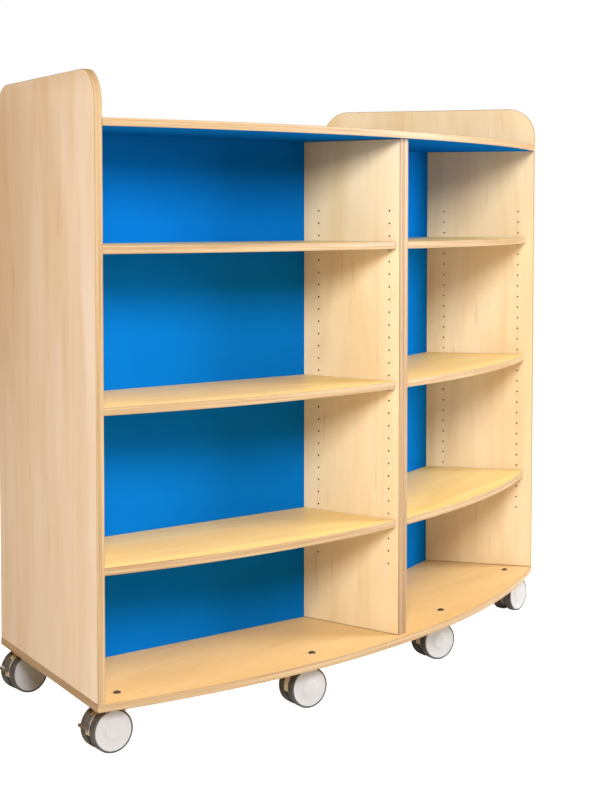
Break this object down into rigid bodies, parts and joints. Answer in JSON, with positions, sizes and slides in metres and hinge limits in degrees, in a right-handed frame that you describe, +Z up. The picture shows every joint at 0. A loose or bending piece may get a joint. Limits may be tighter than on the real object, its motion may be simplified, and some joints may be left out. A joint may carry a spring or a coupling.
{
  "type": "book cart",
  "caption": "Curved double-sided book cart with bays of adjustable shelves, solid end panels, central back panels and swivel casters.",
  "frame": {"origin": "on the floor under the centre of the bounding box", "axes": "+X along the length, to the right seen from the convex front; +Y from the convex front to the concave rear; +Z up"},
  "size_m": [1.8338, 0.7866, 1.506],
  "materials": {
    "beech_laminate": "satin",
    "golden_laminate": "satin",
    "blue_laminate": "satin",
    "caster_housing": "matt",
    "wheel_plastic": "satin",
    "brake_plastic": "matt",
    "bolt_steel": "dark"
  },
  "bodies": {
    "cabinet": {"base_plate": "golden_laminate", "top_panel": "blue_laminate", "left_end_panel": "beech_laminate", "right_end_panel": "beech_laminate", "divider_left_board": "beech_laminate", "divider_right_board": "beech_laminate", "back_panel_left": "blue_laminate", "back_panel_right": "blue_laminate", "shelf_front_left_1": "golden_laminate", "shelf_front_left_2": "golden_laminate", "shelf_front_left_3": "golden_laminate", "shelf_front_right_1": "golden_laminate", "shelf_front_right_2": "golden_laminate", "shelf_front_right_3": "golden_laminate", "shelf_rear_left_1": "golden_laminate", "shelf_rear_left_2": "golden_laminate", "shelf_rear_left_3": "golden_laminate", "shelf_rear_right_1": "golden_laminate", "shelf_rear_right_2": "golden_laminate", "shelf_rear_right_3": "golden_laminate", "caster_front_1_bolt": "bolt_steel", "caster_front_2_bolt": "bolt_steel", "caster_front_3_bolt": "bolt_steel", "caster_front_4_bolt": "bolt_steel", "caster_rear_1_bolt": "bolt_steel", "caster_rear_2_bolt": "bolt_steel", "caster_rear_3_bolt": "bolt_steel", "caster_rear_4_bolt": "bolt_steel"},
    "caster_front_1_swivel": {"caster_front_1_housing": "caster_housing"},
    "caster_front_1_wheel_a": {"caster_front_1_wheel_a": "wheel_plastic"},
    "caster_front_1_wheel_b": {"caster_front_1_wheel_b": "wheel_plastic"},
    "caster_front_1_brake": {"caster_front_1_brake": "brake_plastic"},
    "caster_front_2_swivel": {"caster_front_2_housing": "caster_housing"},
    "caster_front_2_wheel_a": {"caster_front_2_wheel_a": "wheel_plastic"},
    "caster_front_2_wheel_b": {"caster_front_2_wheel_b": "wheel_plastic"},
    "caster_front_3_swivel": {"caster_front_3_housing": "caster_housing"},
    "caster_front_3_wheel_a": {"caster_front_3_wheel_a": "wheel_plastic"},
    "caster_front_3_wheel_b": {"caster_front_3_wheel_b": "wheel_plastic"},
    "caster_front_4_swivel": {"caster_front_4_housing": "caster_housing"},
    "caster_front_4_wheel_a": {"caster_front_4_wheel_a": "wheel_plastic"},
    "caster_front_4_wheel_b": {"caster_front_4_wheel_b": "wheel_plastic"},
    "caster_rear_1_swivel": {"caster_rear_1_housing": "caster_housing"},
    "caster_rear_1_wheel_a": {"caster_rear_1_wheel_a": "wheel_plastic"},
    "caster_rear_1_wheel_b": {"caster_rear_1_wheel_b": "wheel_plastic"},
    "caster_rear_1_brake": {"caster_rear_1_brake": "brake_plastic"},
    "caster_rear_2_swivel": {"caster_rear_2_housing": "caster_housing"},
    "caster_rear_2_wheel_a": {"caster_rear_2_wheel_a": "wheel_plastic"},
    "caster_rear_2_wheel_b": {"caster_rear_2_wheel_b": "wheel_plastic"},
    "caster_rear_3_swivel": {"caster_rear_3_housing": "caster_housing"},
    "caster_rear_3_wheel_a": {"caster_rear_3_wheel_a": "wheel_plastic"},
    "caster_rear_3_wheel_b": {"caster_rear_3_wheel_b": "wheel_plastic"},
    "caster_rear_4_swivel": {"caster_rear_4_housing": "caster_housing"},
    "caster_rear_4_wheel_a": {"caster_rear_4_wheel_a": "wheel_plastic"},
    "caster_rear_4_wheel_b": {"caster_rear_4_wheel_b": "wheel_plastic"}
  },
  "joints": [
    {"name": "caster_front_1_swivel", "type": "hinge", "parent": "cabinet", "child": "caster_front_1_swivel", "pos_m": [-0.82324, -0.17595, 0.1], "axis": [0, 0, 1], "continuous": true},
    {"name": "caster_front_1_wheel_a_roll", "type": "hinge", "parent": "caster_front_1_swivel", "child": "caster_front_1_wheel_a", "pos_m": [-0.8492, -0.16851, 0.05], "axis": [0.2756, 0.9613, 0], "continuous": true},
    {"name": "caster_front_1_wheel_b_roll", "type": "hinge", "parent": "caster_front_1_swivel", "child": "caster_front_1_wheel_b", "pos_m": [-0.8492, -0.16851, 0.05], "axis": [0.2756, 0.9613, 0], "continuous": true},
    {"name": "caster_front_1_brake_press", "type": "hinge", "parent": "caster_front_1_swivel", "child": "caster_front_1_brake", "pos_m": [-0.8492, -0.16851, 0.05], "axis": [-0.2756, -0.9613, 0], "range_deg": [0, 15]},
    {"name": "caster_front_2_swivel", "type": "hinge", "parent": "cabinet", "child": "caster_front_2_swivel", "pos_m": [-0.28787, -0.30844, 0.1], "axis": [0, 0, 1], "continuous": true},
    {"name": "caster_front_2_wheel_a_roll", "type": "hinge", "parent": "caster_front_2_swivel", "child": "caster_front_2_wheel_a", "pos_m": [-0.3134, -0.29965, 0.05], "axis": [0.3256, 0.9455, 0], "continuous": true},
    {"name": "caster_front_2_wheel_b_roll", "type": "hinge", "parent": "caster_front_2_swivel", "child": "caster_front_2_wheel_b", "pos_m": [-0.3134, -0.29965, 0.05], "axis": [0.3256, 0.9455, 0], "continuous": true},
    {"name": "caster_front_3_swivel", "type": "hinge", "parent": "cabinet", "child": "caster_front_3_swivel", "pos_m": [0.27173, -0.31039, 0.1], "axis": [0, 0, 1], "continuous": true},
    {"name": "caster_front_3_wheel_a_roll", "type": "hinge", "parent": "caster_front_3_swivel", "child": "caster_front_3_wheel_a", "pos_m": [0.24635, -0.30116, 0.05], "axis": [0.342, 0.9397, 0], "continuous": true},
    {"name": "caster_front_3_wheel_b_roll", "type": "hinge", "parent": "caster_front_3_swivel", "child": "caster_front_3_wheel_b", "pos_m": [0.24635, -0.30116, 0.05], "axis": [0.342, 0.9397, 0], "continuous": true},
    {"name": "caster_front_4_swivel", "type": "hinge", "parent": "cabinet", "child": "caster_front_4_swivel", "pos_m": [0.81182, -0.18023, 0.1], "axis": [0, 0, 1], "continuous": true},
    {"name": "caster_front_4_wheel_a_roll", "type": "hinge", "parent": "caster_front_4_swivel", "child": "caster_front_4_wheel_a", "pos_m": [0.83882, -0.17976, 0.05], "axis": [0.0175, -0.9998, 0], "continuous": true},
    {"name": "caster_front_4_wheel_b_roll", "type": "hinge", "parent": "caster_front_4_swivel", "child": "caster_front_4_wheel_b", "pos_m": [0.83882, -0.17976, 0.05], "axis": [0.0175, -0.9998, 0], "continuous": true},
    {"name": "caster_rear_1_swivel", "type": "hinge", "parent": "cabinet", "child": "caster_rear_1_swivel", "pos_m": [-0.62743, 0.31559, 0.1], "axis": [0, 0, 1], "continuous": true},
    {"name": "caster_rear_1_wheel_a_roll", "type": "hinge", "parent": "caster_rear_1_swivel", "child": "caster_rear_1_wheel_a", "pos_m": [-0.65384, 0.32121, 0.05], "axis": [0.2079, 0.9781, 0], "continuous": true},
    {"name": "caster_rear_1_wheel_b_roll", "type": "hinge", "parent": "caster_rear_1_swivel", "child": "caster_rear_1_wheel_b", "pos_m": [-0.65384, 0.32121, 0.05], "axis": [0.2079, 0.9781, 0], "continuous": true},
    {"name": "caster_rear_1_brake_press", "type": "hinge", "parent": "caster_rear_1_swivel", "child": "caster_rear_1_brake", "pos_m": [-0.65384, 0.32121, 0.05], "axis": [-0.2079, -0.9781, 0], "range_deg": [0, 15]},
    {"name": "caster_rear_2_swivel", "type": "hinge", "parent": "cabinet", "child": "caster_rear_2_swivel", "pos_m": [-0.21313, 0.21536, 0.1], "axis": [0, 0, 1], "continuous": true},
    {"name": "caster_rear_2_wheel_a_roll", "type": "hinge", "parent": "caster_rear_2_swivel", "child": "caster_rear_2_wheel_a", "pos_m": [-0.23908, 0.2228, 0.05], "axis": [0.2756, 0.9613, 0], "continuous": true},
    {"name": "caster_rear_2_wheel_b_roll", "type": "hinge", "parent": "caster_rear_2_swivel", "child": "caster_rear_2_wheel_b", "pos_m": [-0.23908, 0.2228, 0.05], "axis": [0.2756, 0.9613, 0], "continuous": true},
    {"name": "caster_rear_3_swivel", "type": "hinge", "parent": "cabinet", "child": "caster_rear_3_swivel", "pos_m": [0.21313, 0.21536, 0.1], "axis": [0, 0, 1], "continuous": true},
    {"name": "caster_rear_3_wheel_a_roll", "type": "hinge", "parent": "caster_rear_3_swivel", "child": "caster_rear_3_wheel_a", "pos_m": [0.18682, 0.22143, 0.05], "axis": [0.225, 0.9744, 0], "continuous": true},
    {"name": "caster_rear_3_wheel_b_roll", "type": "hinge", "parent": "caster_rear_3_swivel", "child": "caster_rear_3_wheel_b", "pos_m": [0.18682, 0.22143, 0.05], "axis": [0.225, 0.9744, 0], "continuous": true},
    {"name": "caster_rear_4_swivel", "type": "hinge", "parent": "cabinet", "child": "caster_rear_4_swivel", "pos_m": [0.62743, 0.31559, 0.1], "axis": [0, 0, 1], "continuous": true},
    {"name": "caster_rear_4_wheel_a_roll", "type": "hinge", "parent": "caster_rear_4_swivel", "child": "caster_rear_4_wheel_a", "pos_m": [0.60135, 0.32258, 0.05], "axis": [0.2588, 0.9659, 0], "continuous": true},
    {"name": "caster_rear_4_wheel_b_roll", "type": "hinge", "parent": "caster_rear_4_swivel", "child": "caster_rear_4_wheel_b", "pos_m": [0.60135, 0.32258, 0.05], "axis": [0.2588, 0.9659, 0], "continuous": true}
  ]
}
